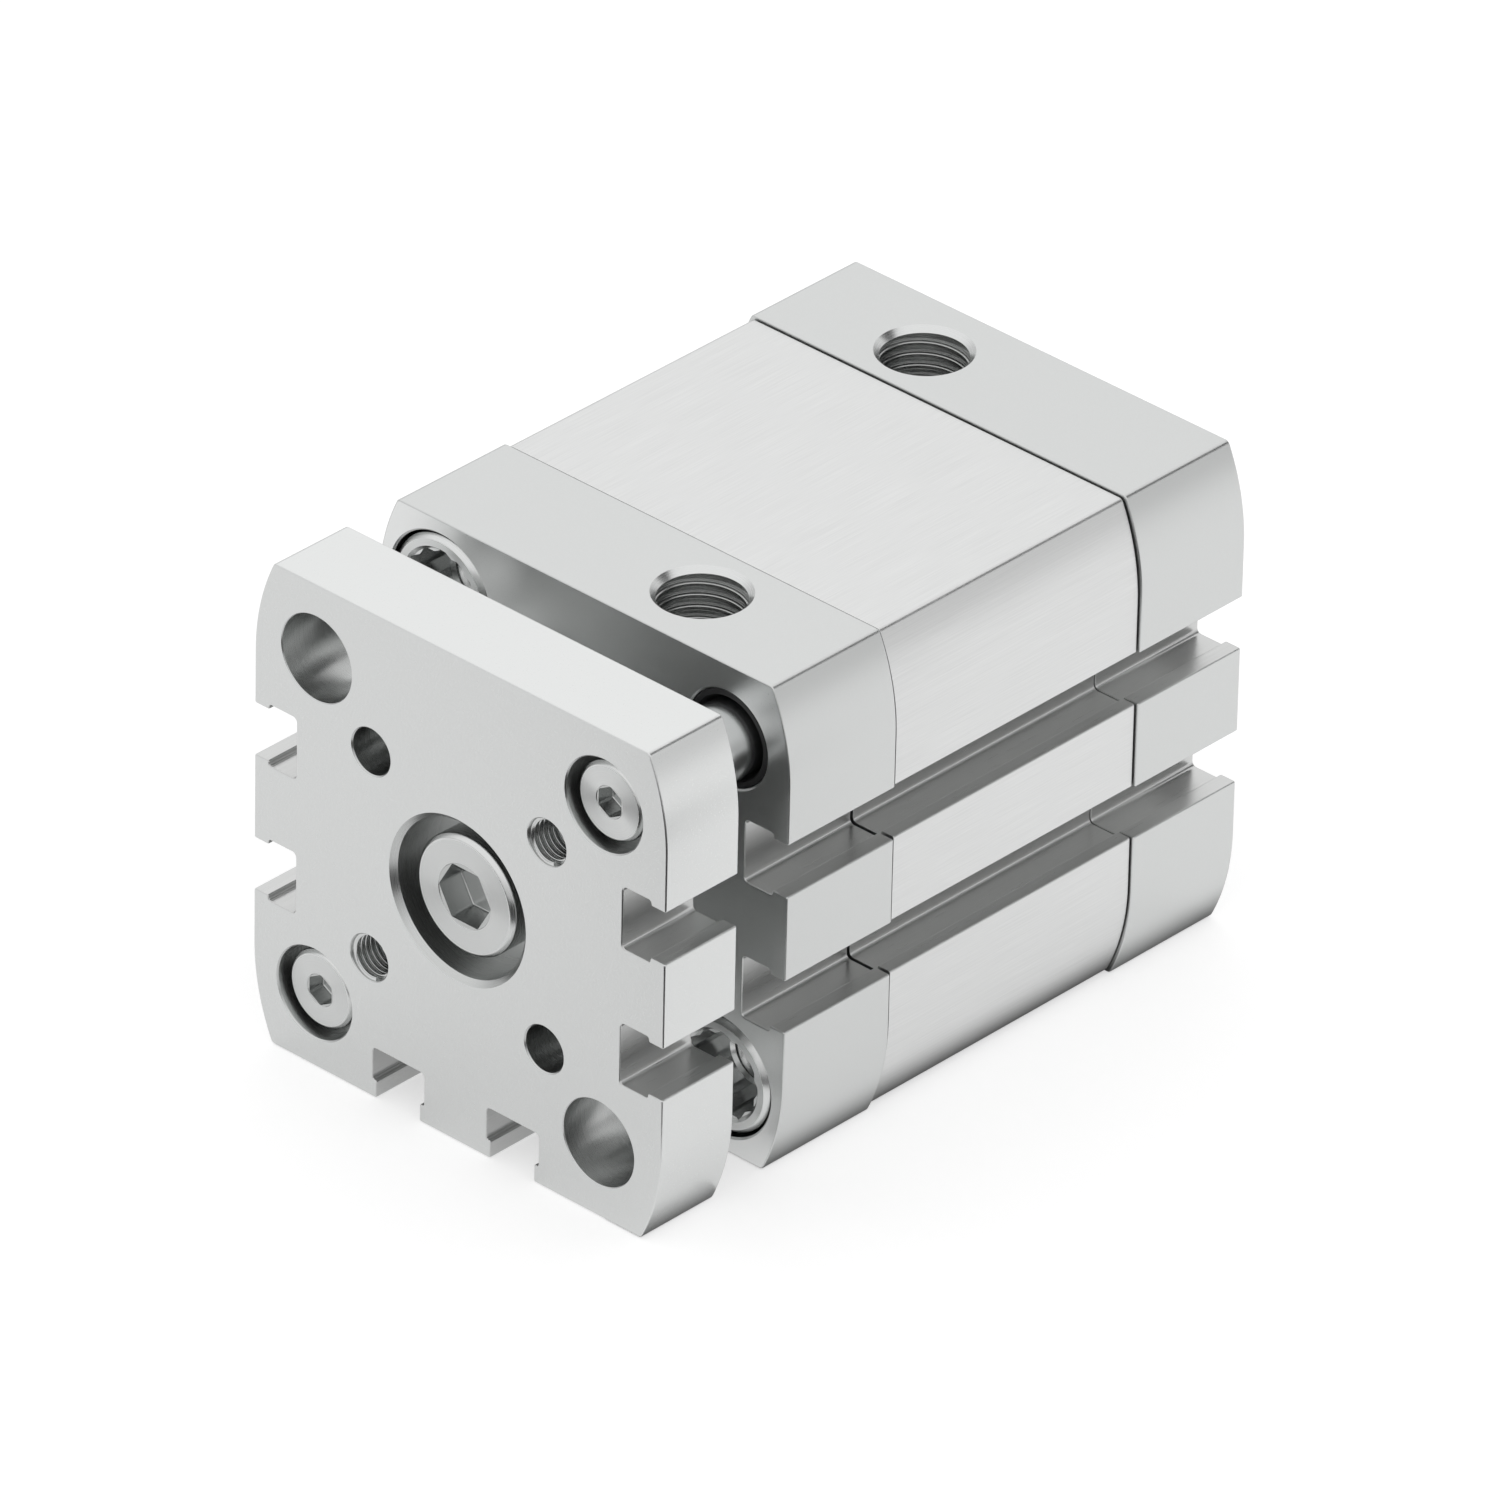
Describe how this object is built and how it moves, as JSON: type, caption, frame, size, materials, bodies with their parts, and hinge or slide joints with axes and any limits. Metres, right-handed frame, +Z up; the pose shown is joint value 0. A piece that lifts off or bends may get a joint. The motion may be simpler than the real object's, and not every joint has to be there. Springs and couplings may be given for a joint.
{
  "type": "guided pneumatic cylinder",
  "caption": "Compact double-acting air cylinder with a square slotted housing, threaded ports on top, and a front plate carried by the piston rod and guide rods.",
  "frame": {"origin": "middle of the rear mounting face, on the cylinder's axis, at the mouth of the rear centring bore", "axes": "+Y along the cylinder's axis towards the rear, +Z up through the ports, +X to the right seen from the front plate"},
  "size_m": [0.0544, 0.082, 0.0544],
  "materials": {
    "plate_aluminium": "fine milled, satin",
    "cap_aluminium": "fine blasted and anodised, satin",
    "barrel_aluminium": "brushed along the axis, clear anodised",
    "screw_steel": "turned, bright",
    "rod_steel": "ground and polished",
    "seal_rubber": "black, matt",
    "cushion_elastomer": "matt",
    "bearing_metal": "sintered, matt",
    "wear_band": "matt",
    "magnet_ferrite": "matt"
  },
  "bodies": {
    "housing": {"barrel": "barrel_aluminium", "bearing_cap": "cap_aluminium", "end_cap": "cap_aluminium", "upper_front_collar_screw": "screw_steel", "lower_front_collar_screw": "screw_steel", "upper_left_rear_collar_screw": "screw_steel", "upper_right_rear_collar_screw": "screw_steel", "lower_left_rear_collar_screw": "screw_steel", "lower_right_rear_collar_screw": "screw_steel", "piston_rod_bush": "bearing_metal", "piston_rod_seal": "seal_rubber", "upper_guide_bush": "bearing_metal", "lower_guide_bush": "bearing_metal", "upper_guide_wiper": "seal_rubber", "lower_guide_wiper": "seal_rubber", "front_cap_o_ring": "seal_rubber", "rear_cap_o_ring": "seal_rubber", "front_cushion_ring": "cushion_elastomer", "rear_cushion_ring": "cushion_elastomer"},
    "carriage": {"yoke_plate": "plate_aluminium", "upper_guide_rod": "rod_steel", "lower_guide_rod": "rod_steel", "upper_guide_rod_screw": "screw_steel", "lower_guide_rod_screw": "screw_steel", "piston_rod": "rod_steel", "yoke_screw": "screw_steel", "piston_front_half": "cap_aluminium", "piston_rear_half": "cap_aluminium", "piston_front_seal": "seal_rubber", "piston_rear_seal": "seal_rubber", "piston_guide_ring": "wear_band", "piston_magnet": "magnet_ferrite", "piston_screw": "screw_steel"}
  },
  "joints": [
    {"name": "carriage_slide", "type": "slide", "parent": "housing", "child": "carriage", "axis": [0, -1, 0], "range_m": [0, 0.02]}
  ]
}
